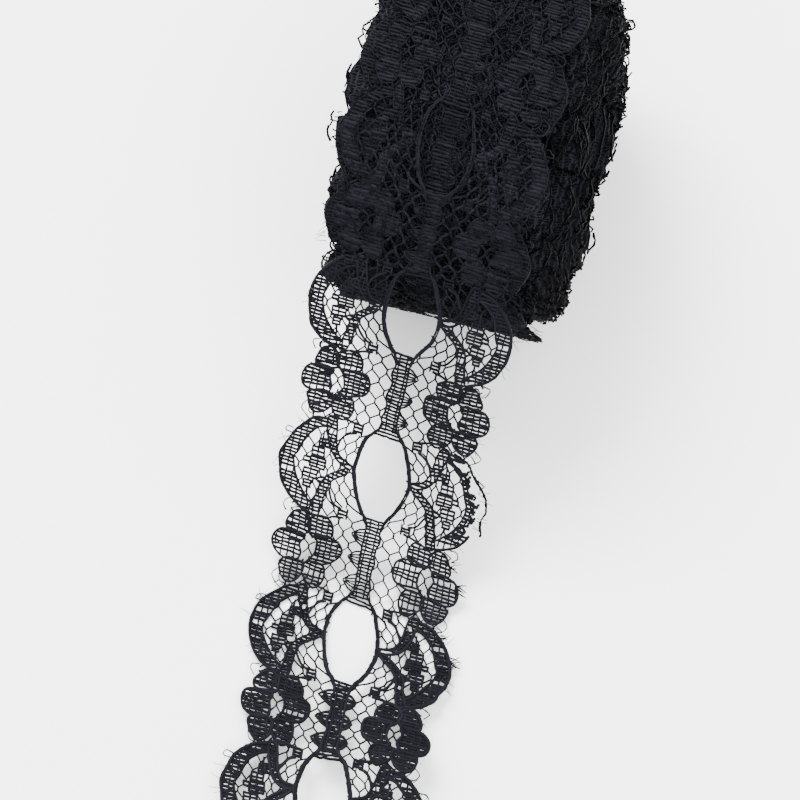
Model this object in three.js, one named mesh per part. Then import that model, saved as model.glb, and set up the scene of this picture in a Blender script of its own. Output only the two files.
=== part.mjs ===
// A soft, coreless roll of patterned lace trim that stands on its rounded side.
// The last length of lace leaves the front of the roll and slopes down to the table.
// X runs along the roll's axis, -Y is the way the loose end runs and +Z is up.
// The origin is the middle of the small flat spot that the roll rests on.
import * as THREE from 'three';
import { mergeVertices } from 'three/addons/utils/BufferGeometryUtils.js';

const LACE_WIDTH = 45;
const PITCH_WOUND = 38.8;
const PITCH_LOOSE = 38.0;
const SKEW_DEG = 3.3;
const SHEET_THICKNESS = 1.0;

const ROLL_RADIUS = 35.5;
const ROLL_HALF_FLAT = 7.5;
const CORE_HEIGHT = 35.5;
const EYE_HALF_HEIGHT = 1.5;
const ROLL_STEPS = 100;
const SEAM_GAP_TURN = 0.002;

// Where the loose end starts and where it leaves the roll, in degrees from the top
const START_ANGLE_DEG = 20;
const LEAVE_ANGLE_DEG = 50;
// The slanted first row starts this far past the step that the last turn ends in
const START_CLEARANCE = 1.7;
// Distance along the lace from the place where it leaves the roll
const FLOWER_ROW_AT = 3.76;
const LOOSE_LENGTH = 149;
const LOOSE_STEPS = 112;
const HALF_COLUMNS = 4;

// The slope down to the table: two control lengths and the landing point
const SLOPE_LEAD = 20;
const SLOPE_TAIL = 16;
const LANDING_Y = -103;
// The cut end curls up from the table, more at its right edge
const CURL_RAMP = 10;
const CURL_LEFT_DEG = 4;
const CURL_RIGHT_DEG = 15;
// The strip drifts sideways on its way: straight part per mm, and bend at 100 mm
const DRIFT_SLOPE = -0.019;
const DRIFT_BEND = 6.56;

const EYELET_HALF_LENGTH = 9.25;
const EYELET_HALF_WIDTH = 5.7;
const EYELET_ROUNDNESS = 2.4;

const radians = (degrees) => (degrees * Math.PI) / 180;
const SKEW = Math.tan(radians(SKEW_DEG));

// Half width of the lace over one repeat: share of the repeat, half width.
// The eyelet and its scallop are at 0, the flower at 0.5.
const EDGE_ROWS = [
  { at: 0.0, half: 22.6 },
  { at: 0.08, half: 22.3 },
  { at: 0.15, half: 21.4 },
  { at: 0.22, half: 19.7 },
  { at: 0.3, half: 15.9 },
  { at: 0.36, half: 18.8 },
  { at: 0.43, half: 18.1 },
  { at: 0.5, half: 20.8 },
  { at: 0.57, half: 18.1 },
  { at: 0.64, half: 18.8 },
  { at: 0.71, half: 14.8 },
  { at: 0.81, half: 18.2 },
  { at: 0.87, half: 20.9 },
  { at: 0.95, half: 22.3 },
  { at: 1.0, half: 22.6 },
];

// Groups of turns from the outside in: depth where each starts and ends, its shift
// along the axis, how wide it lies, and how far its pattern has moved on.
const TURN_ROWS = [
  { from: 0.0, to: 1.0, shift: 0.0, width: 1.0, phase: 0.0 },
  { from: 1.1, to: 2.4, shift: -0.6, width: 1.03, phase: 0.46 },
  { from: 2.6, to: 4.4, shift: 1.2, width: 1.03, phase: 0.21 },
  { from: 4.8, to: 7.8, shift: 3.2, width: 0.99, phase: 0.72 },
  { from: 8.4, to: 13.0, shift: 5.3, width: 0.99, phase: 0.1 },
  { from: 14.0, to: 21.0, shift: 7.2, width: 0.98, phase: 0.55 },
  { from: 22.5, to: 34.0, shift: 8.4, width: 0.98, phase: 0.9 },
];
const SCALLOP_KEPT_DEEP = 0.25;
const SCALLOP_FADE_DEPTH = 6;
const MEAN_HALF_WIDTH = 21.0;

// Outer radius round one turn, from the start of the loose end over the top
const SPIRAL_ROWS = [
  { turn: 0.0, radius: 36.0 },
  { turn: 0.5, radius: 35.7 },
  { turn: 0.65, radius: 35.6 },
  { turn: 0.8, radius: 35.0 },
  { turn: 1.0, radius: 34.4 },
];

function lookUp(rows, key, value, at) {
  for (let i = 1; i < rows.length; i += 1) {
    if (at <= rows[i][key]) {
      const before = rows[i - 1];
      const share = (at - before[key]) / (rows[i][key] - before[key]);
      return before[value] + share * (rows[i][value] - before[value]);
    }
  }
  return rows[rows.length - 1][value];
}

function edgeHalfWidth(share) {
  return lookUp(EDGE_ROWS, 'at', 'half', share - Math.floor(share));
}

// Share of a repeat at a distance along the lace; the eyelets are at whole numbers
function patternShare(distance) {
  const pitch = distance < FLOWER_ROW_AT ? PITCH_WOUND : PITCH_LOOSE;
  return (distance - FLOWER_ROW_AT) / pitch + 0.5;
}

// Side view of the loose end: middle of its thickness, and its way on
function slopeCurve() {
  const leave = radians(LEAVE_ANGLE_DEG);
  const start = new THREE.Vector2(
    -ROLL_HALF_FLAT - ROLL_RADIUS * Math.sin(leave),
    CORE_HEIGHT + ROLL_RADIUS * Math.cos(leave),
  );
  const way = new THREE.Vector2(-Math.cos(leave), -Math.sin(leave));
  const landing = new THREE.Vector2(LANDING_Y, SHEET_THICKNESS / 2);
  return new THREE.CubicBezierCurve(
    start,
    start.clone().addScaledVector(way, SLOPE_LEAD),
    new THREE.Vector2(LANDING_Y + SLOPE_TAIL, SHEET_THICKNESS / 2),
    landing,
  );
}

const SLOPE = slopeCurve();
SLOPE.arcLengthDivisions = 2000;
const SLOPE_LENGTH = SLOPE.getLength();

// Place and downhill angle of the lace at a distance from where it leaves the roll
function loosePlace(distance, across) {
  if (distance <= 0) {
    const angle = radians(LEAVE_ANGLE_DEG) + distance / ROLL_RADIUS;
    return {
      y: -ROLL_HALF_FLAT - ROLL_RADIUS * Math.sin(angle),
      z: CORE_HEIGHT + ROLL_RADIUS * Math.cos(angle),
      fall: angle,
    };
  }
  if (distance <= SLOPE_LENGTH) {
    const share = distance / SLOPE_LENGTH;
    const point = SLOPE.getPointAt(share);
    const way = SLOPE.getTangentAt(share);
    return { y: point.x, z: point.y, fall: Math.atan2(-way.y, -way.x) };
  }
  const rightShare = across / LACE_WIDTH + 0.5;
  const curl = radians(CURL_LEFT_DEG + (CURL_RIGHT_DEG - CURL_LEFT_DEG) * rightShare);
  const past = distance - SLOPE_LENGTH;
  const onRamp = Math.min(past, CURL_RAMP);
  const beyond = past - onRamp;
  return {
    y: LANDING_Y - onRamp - beyond * Math.cos(curl),
    z: SHEET_THICKNESS / 2 + (curl * onRamp * onRamp) / (2 * CURL_RAMP) + beyond * Math.sin(curl),
    fall: (-curl * onRamp) / CURL_RAMP,
  };
}

function sidewaysDrift(y) {
  const leaveY = -ROLL_HALF_FLAT - ROLL_RADIUS * Math.sin(radians(LEAVE_ANGLE_DEG));
  const run = Math.max(0, leaveY - y);
  return DRIFT_SLOPE * run + DRIFT_BEND * (run / 100) ** 2;
}

// A point of the loose end: across the lace, along it, and above its middle
function loosePoint(across, row, above) {
  const place = loosePlace(row + SKEW * across, across);
  return new THREE.Vector3(
    across + sidewaysDrift(place.y),
    place.y - above * Math.sin(place.fall),
    place.z + above * Math.cos(place.fall),
  );
}

function eyeletHalfWidth(row) {
  const share = patternShare(row);
  const fromCentre = Math.abs(share - Math.round(share)) * PITCH_LOOSE;
  if (row < FLOWER_ROW_AT || fromCentre >= EYELET_HALF_LENGTH) {
    return 0;
  }
  const ratio = (fromCentre / EYELET_HALF_LENGTH) ** EYELET_ROUNDNESS;
  return EYELET_HALF_WIDTH * Math.sqrt(1 - ratio);
}

// Collects triangles by corner points and closes them into one mesh
function solidFrom(corners) {
  const positions = new Float32Array(corners.length * 3);
  corners.forEach((corner, i) => corner.toArray(positions, i * 3));
  const geometry = new THREE.BufferGeometry();
  geometry.setAttribute('position', new THREE.BufferAttribute(positions, 3));
  const merged = mergeVertices(geometry, 1e-4);
  merged.computeVertexNormals();
  return merged;
}

function addQuad(corners, a, b, c, d) {
  const diagonal = [[a, b, c], [a, c, d]];
  for (const [p, q, r] of diagonal) {
    const flat = p.distanceTo(q) < 1e-4 || q.distanceTo(r) < 1e-4 || r.distanceTo(p) < 1e-4;
    if (!flat) {
      corners.push(p, q, r);
    }
  }
}

function looseRows() {
  const start = START_CLEARANCE - ROLL_RADIUS * radians(LEAVE_ANGLE_DEG - START_ANGLE_DEG);
  const rows = [];
  for (let i = 0; i <= LOOSE_STEPS; i += 1) {
    rows.push(start + ((LOOSE_LENGTH - start) * i) / LOOSE_STEPS);
  }
  return rows;
}

// The loose end: each row of columns runs from the scalloped edge to the middle
// line or to the rim of an eyelet, once for the left half and once for the right.
function looseEndGeometry() {
  const corners = [];
  const half = SHEET_THICKNESS / 2;
  const rows = looseRows().map((row) => {
    const edge = edgeHalfWidth(patternShare(row));
    const inner = eyeletHalfWidth(row);
    const side = (sign) => {
      const columns = [];
      for (let j = 0; j <= HALF_COLUMNS; j += 1) {
        const across = sign * (edge + ((inner - edge) * j) / HALF_COLUMNS);
        columns.push({
          top: loosePoint(across, row, half),
          bottom: loosePoint(across, row, -half),
        });
      }
      return columns;
    };
    return { left: side(-1), right: side(1).reverse(), open: inner > 0 };
  });
  for (let i = 1; i < rows.length; i += 1) {
    const behind = rows[i - 1];
    const ahead = rows[i];
    for (const name of ['left', 'right']) {
      const far = behind[name];
      const near = ahead[name];
      for (let j = 1; j < far.length; j += 1) {
        addQuad(corners, near[j - 1].top, near[j].top, far[j].top, far[j - 1].top);
        addQuad(corners, far[j - 1].bottom, far[j].bottom, near[j].bottom, near[j - 1].bottom);
      }
    }
    const last = HALF_COLUMNS;
    const wall = (near, far) => addQuad(corners, near.bottom, far.bottom, far.top, near.top);
    wall(behind.left[0], ahead.left[0]);
    wall(ahead.right[last], behind.right[last]);
    if (behind.open || ahead.open) {
      wall(ahead.left[last], behind.left[last]);
      wall(behind.right[0], ahead.right[0]);
    }
  }
  const cap = (row, towardEnd) => {
    for (const name of ['left', 'right']) {
      const columns = row[name];
      for (let j = 1; j < columns.length; j += 1) {
        const [a, b] = towardEnd ? [columns[j - 1], columns[j]] : [columns[j], columns[j - 1]];
        addQuad(corners, a.bottom, b.bottom, b.top, a.top);
      }
    }
  };
  cap(rows[0], false);
  cap(rows[rows.length - 1], true);
  return solidFrom(corners);
}

// Walks once round the roll from the start of the loose end, up over the top,
// down the back, along the flat and up the front. Gives the middle of the bend
// and the outward direction there.
function rollStations() {
  const startAngle = radians(START_ANGLE_DEG);
  const parts = [
    { length: ROLL_RADIUS * startAngle, from: -startAngle, to: 0, y0: -ROLL_HALF_FLAT, y1: -ROLL_HALF_FLAT },
    { length: 2 * ROLL_HALF_FLAT, from: 0, to: 0, y0: -ROLL_HALF_FLAT, y1: ROLL_HALF_FLAT },
    { length: ROLL_RADIUS * Math.PI, from: 0, to: Math.PI, y0: ROLL_HALF_FLAT, y1: ROLL_HALF_FLAT },
    { length: 2 * ROLL_HALF_FLAT, from: Math.PI, to: Math.PI, y0: ROLL_HALF_FLAT, y1: -ROLL_HALF_FLAT },
    {
      length: ROLL_RADIUS * (Math.PI - startAngle),
      from: Math.PI,
      to: 2 * Math.PI - startAngle,
      y0: -ROLL_HALF_FLAT,
      y1: -ROLL_HALF_FLAT,
    },
  ];
  const total = parts.reduce((sum, part) => sum + part.length, 0);
  const stations = [];
  for (let i = 0; i < ROLL_STEPS; i += 1) {
    const turn = ((1 - SEAM_GAP_TURN) * i) / (ROLL_STEPS - 1);
    let left = turn * total;
    let k = 0;
    while (k < parts.length - 1 && left > parts[k].length) {
      left -= parts[k].length;
      k += 1;
    }
    const share = left / parts[k].length;
    stations.push({
      turn,
      along: turn * total,
      coreY: parts[k].y0 + (parts[k].y1 - parts[k].y0) * share,
      angle: parts[k].from + (parts[k].to - parts[k].from) * share,
    });
  }
  return stations;
}

function rollPoint(station, radius, x) {
  const y = station.coreY + radius * Math.sin(station.angle);
  const z = CORE_HEIGHT + radius * Math.cos(station.angle);
  return new THREE.Vector3(x, y, Math.max(0, z));
}

// The closed outline of the roll's wall at one station, from the left end's eye
// out along that end's turns, across the outside and back in at the right end.
function rollSection(station) {
  const outer = lookUp(SPIRAL_ROWS, 'turn', 'radius', station.turn);
  const startDistance = -ROLL_RADIUS * radians(LEAVE_ANGLE_DEG - START_ANGLE_DEG);
  const share = patternShare(startDistance - station.along);
  const scale = (outer - EYE_HALF_HEIGHT) / (ROLL_RADIUS - EYE_HALF_HEIGHT);
  const left = [];
  const right = [];
  for (const group of TURN_ROWS) {
    const fade = Math.max(SCALLOP_KEPT_DEEP, 1 - group.from / SCALLOP_FADE_DEPTH);
    const edge = edgeHalfWidth(share + group.phase);
    const half = group.width * (MEAN_HALF_WIDTH + fade * (edge - MEAN_HALF_WIDTH));
    for (const depth of [group.from, group.to]) {
      const radius = outer - depth * scale;
      right.push(rollPoint(station, radius, group.shift + half));
      left.push(rollPoint(station, radius, group.shift - half));
    }
  }
  const middle = [-0.5, 0, 0.5].map((part) => rollPoint(station, outer, part * MEAN_HALF_WIDTH));
  return [...left.reverse(), ...middle, ...right];
}

function woundRollGeometry() {
  const corners = [];
  const sections = rollStations().map(rollSection);
  const count = sections[0].length;
  for (let i = 0; i < sections.length; i += 1) {
    const here = sections[i];
    const next = sections[(i + 1) % sections.length];
    for (let j = 0; j < count; j += 1) {
      const k = (j + 1) % count;
      addQuad(corners, here[j], here[k], next[k], next[j]);
    }
  }
  return solidFrom(corners);
}

function laceMaterial() {
  return new THREE.MeshStandardMaterial({ color: 0x14151c, roughness: 0.8, metalness: 0 });
}

function namedMesh(name, geometry) {
  const mesh = new THREE.Mesh(geometry, laceMaterial());
  mesh.name = name;
  return mesh;
}

const laceRoll = new THREE.Group();
laceRoll.add(namedMesh('wound_roll', woundRollGeometry()));
laceRoll.add(namedMesh('loose_end', looseEndGeometry()));

export default laceRoll;
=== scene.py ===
# %% [markdown]
# # A roll of black lace trim
# This scene builds a soft roll of knitted lace, 45 mm wide. Its last length leaves the
# front of the roll and slopes down to a pale table. The lace is made thread by thread,
# because its holes and its thick outlines are what the eye reads as lace.
#
# The solids of the frame are loaded first, since every piece rides on their body. Sizes are
# in mm in this script and become metres where a mesh is made.

import bpy
import math
import numpy as np
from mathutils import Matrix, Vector


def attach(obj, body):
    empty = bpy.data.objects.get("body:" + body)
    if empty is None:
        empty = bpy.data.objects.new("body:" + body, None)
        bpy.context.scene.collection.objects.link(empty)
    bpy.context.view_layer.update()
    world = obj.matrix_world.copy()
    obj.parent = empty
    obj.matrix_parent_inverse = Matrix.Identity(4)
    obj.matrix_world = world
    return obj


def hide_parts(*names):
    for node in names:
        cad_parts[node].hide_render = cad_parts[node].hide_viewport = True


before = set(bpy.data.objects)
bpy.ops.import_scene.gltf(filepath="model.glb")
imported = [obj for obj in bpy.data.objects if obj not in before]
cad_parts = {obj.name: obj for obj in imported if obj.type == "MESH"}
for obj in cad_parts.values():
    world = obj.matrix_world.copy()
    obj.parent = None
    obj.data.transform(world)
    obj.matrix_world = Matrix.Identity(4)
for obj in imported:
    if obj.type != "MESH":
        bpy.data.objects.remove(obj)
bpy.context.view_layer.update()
MM = 0.001

# %% [markdown]
# ## Camera
# The camera comes next. It stands at the photo's viewing angle, 66 degrees down and
# 15 degrees to the right. It could stand close with a short lens, but in the photo the lace
# hardly narrows with distance, so it stands far off with a long lens.

# %% Camera
AZIMUTH = math.radians(14.811)
ELEVATION = math.radians(66.0)
TARGET = Vector((-2.153, -51.736, 0.0)) * MM
CAMERA_DISTANCE = 1.2
CAMERA_LENS = 244.24
BACK = Vector((
    math.sin(AZIMUTH) * math.cos(ELEVATION),
    -math.cos(AZIMUTH) * math.cos(ELEVATION),
    math.sin(ELEVATION),
))
bpy.ops.object.camera_add(location=TARGET + BACK * CAMERA_DISTANCE)
camera = bpy.context.object
camera.name = "Camera"
camera.rotation_euler = (-BACK).to_track_quat("-Z", "Y").to_euler()
camera.data.lens = CAMERA_LENS
camera.data.sensor_width = 36.0
camera.data.clip_start = 0.05
camera.data.clip_end = 20.0
camera.data.dof.use_dof = False
bpy.context.scene.camera = camera
print("camera at", tuple(round(c, 3) for c in camera.location))

# %% [markdown]
# ## The way that the lace takes
# The lace is one long strip. Distance along it is counted from the place where it leaves
# the roll: positive towards the cut end, negative back into the roll. The roll has settled
# into an oval, so its path is a flat top, a round back, a flat bottom and a round front.
#
# The lace could be modelled flat and bent by a curve modifier. Here plain functions give the
# place of any point of the flat lace, so thousands of threads take their way in one step.

# %% Route of the lace
LACE_WIDTH = 45.0
REPEAT = 38.0
REPEAT_WOUND = 38.8
SKEW = math.tan(math.radians(3.3))
ROLL_RADIUS = 35.5
HALF_FLAT = 7.5
CORE_HEIGHT = 35.5
LEAVE = math.radians(50)
START = math.radians(20)
ROW_OF_FLOWER = 3.76
CUT_END = 149.0
STRIP_START = -ROLL_RADIUS * (LEAVE - START)
TOP_ARC = ROLL_RADIUS * LEAVE
HALF_TURN = ROLL_RADIUS * math.pi
FRONT_ARC = ROLL_RADIUS * (math.pi - LEAVE)
TURN_LENGTH = TOP_ARC + HALF_TURN + FRONT_ARC + 4 * HALF_FLAT
TURN_STEP = 0.6

leave_point = np.array([
    -HALF_FLAT - ROLL_RADIUS * math.sin(LEAVE),
    CORE_HEIGHT + ROLL_RADIUS * math.cos(LEAVE),
])
way_down = np.array([-math.cos(LEAVE), -math.sin(LEAVE)])
SLOPE_POINTS = np.array([leave_point, leave_point + 20 * way_down, [-87.0, 0.5], [-103.0, 0.5]])
print("one turn is", round(TURN_LENGTH, 2), "mm, and the loose length ends at", CUT_END)

# %% [markdown]
# The slope is a curve with four control points, in the side view. Its length and its angle
# are kept in a table, because a place along a curve of this kind has no simple formula.

# %% Slope down to the table
def slope_table(count=2000):
    """Way along the slope, with the place and the angle there."""
    t = np.linspace(0, 1, count)[:, None]
    a, b, c, d = SLOPE_POINTS
    place = a * (1 - t) ** 3 + 3 * b * t * (1 - t) ** 2 + 3 * c * t * t * (1 - t) + d * t ** 3
    step = np.linalg.norm(np.diff(place, axis=0), axis=1)
    along = np.concatenate([[0], np.cumsum(step)])
    way = np.gradient(place, axis=0)
    fall = np.arctan2(-way[:, 1], -way[:, 0])
    return along, place[:, 0], place[:, 1], fall


SLOPE_ALONG, SLOPE_Y, SLOPE_Z, SLOPE_FALL = slope_table()
SLOPE_LENGTH = SLOPE_ALONG[-1]
print("slope", round(SLOPE_LENGTH, 2), "mm")

# %% [markdown]
# On the roll, the place follows from how far back along a turn a point lies and how deep its
# turn is. The turns have slipped sideways as the roll was handled: the deeper ones further to
# the right, and most of all at the lower front.

# %% Places on the roll
def wound_place(back, radius):
    """Place on the roll at a distance back along a turn, at a radius of its bends."""
    t = np.mod(back, TURN_LENGTH)
    edges = np.cumsum([TOP_ARC, 2 * HALF_FLAT, HALF_TURN, 2 * HALF_FLAT])
    part = np.searchsorted(edges, t, side="right")
    before = np.concatenate([[0], edges])[part]
    u = t - before
    angle = np.choose(part, [
        LEAVE - u / ROLL_RADIUS,
        0 * u,
        -u / ROLL_RADIUS,
        0 * u - math.pi,
        -math.pi - u / ROLL_RADIUS,
    ])
    middle = np.choose(part, [
        0 * u - HALF_FLAT,
        u - HALF_FLAT,
        0 * u + HALF_FLAT,
        HALF_FLAT - u,
        0 * u - HALF_FLAT,
    ])
    y = middle - radius * np.sin(angle)
    z = CORE_HEIGHT + radius * np.cos(angle)
    return y, z, angle


SHIFT_DEPTHS = [0, 0.6, 1.7, 2.9, 4.5, 6.3, 10.7, 17.5, 28]
SHIFTS = [0, -0.1, -1.3, -0.7, 1.6, 3.2, 5.3, 7.2, 8.4]
LOWER_FRONT_AT = 216
LOWER_FRONT_REACH = 23


def turn_shift(depth):
    """How far a turn has slipped to the right, by its depth in the roll."""
    return np.interp(depth, SHIFT_DEPTHS, SHIFTS)


def lower_front(back):
    """1 at the lower front of the roll, fading to 0: there the turns have slipped most."""
    away = np.mod(back - LOWER_FRONT_AT + TURN_LENGTH / 2, TURN_LENGTH) - TURN_LENGTH / 2
    return np.exp(-((away / LOWER_FRONT_REACH) ** 2))


print("a turn 10 mm deep has slipped", round(float(turn_shift(10)), 2), "mm")

# %% [markdown]
# One function places the whole strip, on the roll, on the slope and on the table. It also
# gives the way up at each point, which a thread needs to lie on the right side of its
# neighbours. The last length curls up, and nothing goes under the table.

# %% Places of the whole lace
CORNER_AT = 213
CORNER_REACH = 9
CORNER_SLIP = 2.8
LOWER_SLIP = 1.6
CURL_RAMP = 10
# Degrees of curl at the left edge, and how much more at the right one
CURL_LEFT = 4
CURL_ACROSS = 11
# The loose length drifts to the left a little, then bends to the right
DRIFT = 0.019
BEND = 6.56


def place_lace(across, row, above):
    """Points and upward directions for places given in the flat lace, in mm."""
    across = np.asarray(across, float)
    s = row + SKEW * across
    turns = np.clip((STRIP_START - s) / TURN_LENGTH, 0, None)
    radius = ROLL_RADIUS + 0.1 - TURN_STEP * turns
    y0, z0, fall0 = wound_place(np.clip(-s, 0, None), radius)
    on_slope = np.clip(s, 0, SLOPE_LENGTH)
    y1 = np.interp(on_slope, SLOPE_ALONG, SLOPE_Y)
    z1 = np.interp(on_slope, SLOPE_ALONG, SLOPE_Z)
    fall1 = np.interp(on_slope, SLOPE_ALONG, SLOPE_FALL)
    curl = np.radians(CURL_LEFT + CURL_ACROSS * (across / LACE_WIDTH + 0.5))
    past = np.clip(s - SLOPE_LENGTH, 0, None)
    ramp = np.minimum(past, CURL_RAMP)
    y1 = y1 - ramp - (past - ramp) * np.cos(curl)
    z1 = z1 + curl * ramp * ramp / (2 * CURL_RAMP) + (past - ramp) * np.sin(curl)
    fall1 = np.where(past > 0, -curl * ramp / CURL_RAMP, fall1)
    wound = s <= 0
    y = np.where(wound, y0, y1)
    z = np.where(wound, z0, z1)
    fall = np.where(wound, fall0, fall1)
    run = np.clip(leave_point[0] - y1, 0, None) * ~wound
    x = across - DRIFT * run + BEND * (run / 100) ** 2
    corner = np.exp(-((s + CORNER_AT) / CORNER_REACH) ** 2)
    more = LOWER_SLIP * lower_front(-s) + CORNER_SLIP * corner
    slipped = turn_shift(TURN_STEP * turns) + more * np.clip(3 * turns, 0, 1)
    x = x + np.where(wound, slipped, 0)
    loose = np.clip(s / 25, 0, 1)
    wave = 0.35 * np.sin(s / 5.1 + across / 9) + 0.25 * np.sin(s / 3.3 - across / 6 + 2)
    lift = above + wave * loose * 0.6
    y = y - lift * np.sin(fall)
    z = z + lift * np.cos(fall)
    points = np.stack([x, y, np.maximum(z, 0.3)], axis=-1)
    up = np.stack([0 * x, -np.sin(fall), np.cos(fall)], axis=-1)
    return points, up


def row_at(q):
    """Place along the lace for a place q in the pattern. The wound lace is stretched a little."""
    ahead = q - REPEAT / 2
    return ROW_OF_FLOWER + np.where(ahead < 0, ahead * REPEAT_WOUND / REPEAT, ahead)


print("the middle of eyelet 1 is", float(row_at(REPEAT)), "mm from the roll")

# %% [markdown]
# ## Drawing with threads
# The charts of the pattern hold few points, so a smooth curve is drawn through them, with
# evenly spaced points. All small unevenness comes from one seeded source of random numbers,
# so the lace is the same each time.

# %% Curves through points
rng = np.random.default_rng(7)


def resample(points, spacing):
    """Evenly spaced points along a line."""
    points = np.asarray(points, float)
    step = np.linalg.norm(np.diff(points, axis=0), axis=1)
    along = np.concatenate([[0], np.cumsum(step)])
    count = max(2, int(round(along[-1] / spacing)) + 1)
    new = np.linspace(0, along[-1], count)
    return np.stack([np.interp(new, along, points[:, i]) for i in range(points.shape[1])], axis=1)


def smooth_line(points, spacing, closed=False):
    """A smooth curve through the points, as evenly spaced points."""
    points = np.asarray(points, float)
    if closed:
        ring = np.concatenate([points[-1:], points, points[:2]])
    else:
        ring = np.concatenate([2 * points[:1] - points[1:2], points, 2 * points[-1:] - points[-2:-1]])
    t = np.linspace(0, 1, 9)[:-1, None]
    parts = []
    for a, b, c, d in zip(ring[:-3], ring[1:-2], ring[2:-1], ring[3:]):
        second = 2 * a - 5 * b + 4 * c - d
        third = 3 * b - a - 3 * c + d
        parts.append(0.5 * (2 * b + (c - a) * t + second * t ** 2 + third * t ** 3))
    parts.append(ring[-2:-1])
    return resample(np.concatenate(parts), spacing)


UNIT_SQUARE = np.array([(0, 0), (1, 0), (1, 1), (0, 1)], float)
print("a smooth ring has", len(smooth_line(UNIT_SQUARE, 0.1, closed=True)), "points")

# %% [markdown]
# Cloth threads end at the edge of their shape, and net threads stop where cloth begins. These
# three tools find the points inside a shape, the parts of a level line inside it, and the
# unbroken runs in a list of yes and no.

# %% Points and lines inside a shape
def inside(shape, points):
    """True for the points that lie inside a closed shape."""
    x, y = points[:, 0], points[:, 1]
    result = np.zeros(len(points), bool)
    near = (y >= shape[:, 1].min()) & (y <= shape[:, 1].max())
    near &= (x >= shape[:, 0].min()) & (x <= shape[:, 0].max())
    if not near.any():
        return result
    x, y = x[near, None], y[near, None]
    x0, y0 = shape[:, 0], shape[:, 1]
    x1, y1 = np.roll(x0, -1), np.roll(y0, -1)
    crosses = (y0 > y) != (y1 > y)
    with np.errstate(divide="ignore", invalid="ignore"):
        at = x0 + (y - y0) * (x1 - x0) / (y1 - y0)
    result[near] = (np.sum(crosses & (x < at), axis=1) % 2) == 1
    return result


def spans_at(shape, y):
    """The parts of a level line that lie inside a closed shape."""
    x0, y0 = shape[:, 0], shape[:, 1]
    x1, y1 = np.roll(x0, -1), np.roll(y0, -1)
    hit = (y0 > y) != (y1 > y)
    at = np.sort(x0[hit] + (y - y0[hit]) * (x1[hit] - x0[hit]) / (y1[hit] - y0[hit]))
    return [(at[i], at[i + 1]) for i in range(0, len(at) - 1, 2)]


def runs_of(mask):
    """Start and end of each unbroken run of True."""
    edge = np.flatnonzero(np.diff(np.concatenate([[0], mask.astype(int), [0]])))
    return list(zip(edge[::2], edge[1::2]))


print("a level line through a square", [(float(a), float(b)) for a, b in spans_at(UNIT_SQUARE, 0.5)])

# %% [markdown]
# Every thread is a thin tube along its points. A bevelled curve could do this one thread at a
# time, but a roll has tens of thousands, so one function makes the rings and faces of all the
# tubes of a piece at once. A tube has only three or four sides, which is enough for a thread.

# %% Tubes from arrays
def tube_arrays(centre, up, radius, counts, sides, flat):
    """Vertices and faces of many closed tubes at once, from the points of their middles.

    A tube with flat 2 is twice as wide as it is high.
    """
    total = len(centre)
    last = np.cumsum(counts) - 1
    first = last - counts + 1
    index = np.arange(total)
    following, before = index + 1, index - 1
    following[last] = last
    before[first] = first
    along = centre[following] - centre[before]
    along /= np.linalg.norm(along, axis=1, keepdims=True) + 1e-9
    side = np.cross(along, up)
    side /= np.linalg.norm(side, axis=1, keepdims=True) + 1e-9
    over = np.cross(side, along)
    # A tube of three sides has an edge on top, one of four sides has a face there
    angle = 2 * math.pi * (np.arange(sides) + (0.75 if sides == 3 else 0.5)) / sides
    wide = np.sqrt(flat)[:, None, None]
    across = np.cos(angle)[None, :, None] * side[:, None]
    upward = np.sin(angle)[None, :, None] * over[:, None]
    ring = wide * across + upward / wide
    # A few-sided tube gets the same cross section as a round one
    fuller = math.sqrt(2 * math.pi / (sides * math.sin(2 * math.pi / sides)))
    vertices = (centre[:, None] + fuller * radius[:, None, None] * ring).reshape(-1, 3)
    body = np.ones(total, bool)
    body[last] = False
    start = index[body]
    quads = []
    for k in range(sides):
        n = (k + 1) % sides
        quads.append(np.stack([
            start * sides + k,
            (start + 1) * sides + k,
            (start + 1) * sides + n,
            start * sides + n,
        ], axis=1))
    caps = [first[:, None] * sides + np.arange(sides), last[:, None] * sides + np.arange(sides)[::-1]]
    return vertices, np.concatenate(quads), np.concatenate(caps)


print("a thread of 5 points has", 5 * 4, "vertices with four sides")

# %% [markdown]
# The arrays become one mesh for each piece. Two values go with every vertex: a tone, the same
# all along a thread, and the way along it. The yarn material reads both.

# %% Pieces made of threads
def mesh_object(name, vertices, face_lists, values=None):
    """A smooth-shaded object from arrays in mm, with a value for each vertex."""
    mesh = bpy.data.meshes.new(name)
    faces = []
    for part in face_lists:
        faces.extend(part.tolist())
    mesh.from_pydata((vertices * MM).tolist(), [], faces)
    mesh.shade_smooth()
    for key, data in (values or {}).items():
        layer = mesh.attributes.new(key, "FLOAT", "POINT")
        layer.data.foreach_set("value", np.asarray(data, np.float32))
    mesh.update()
    piece = bpy.data.objects.new(name, mesh)
    bpy.context.scene.collection.objects.link(piece)
    return piece


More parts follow.
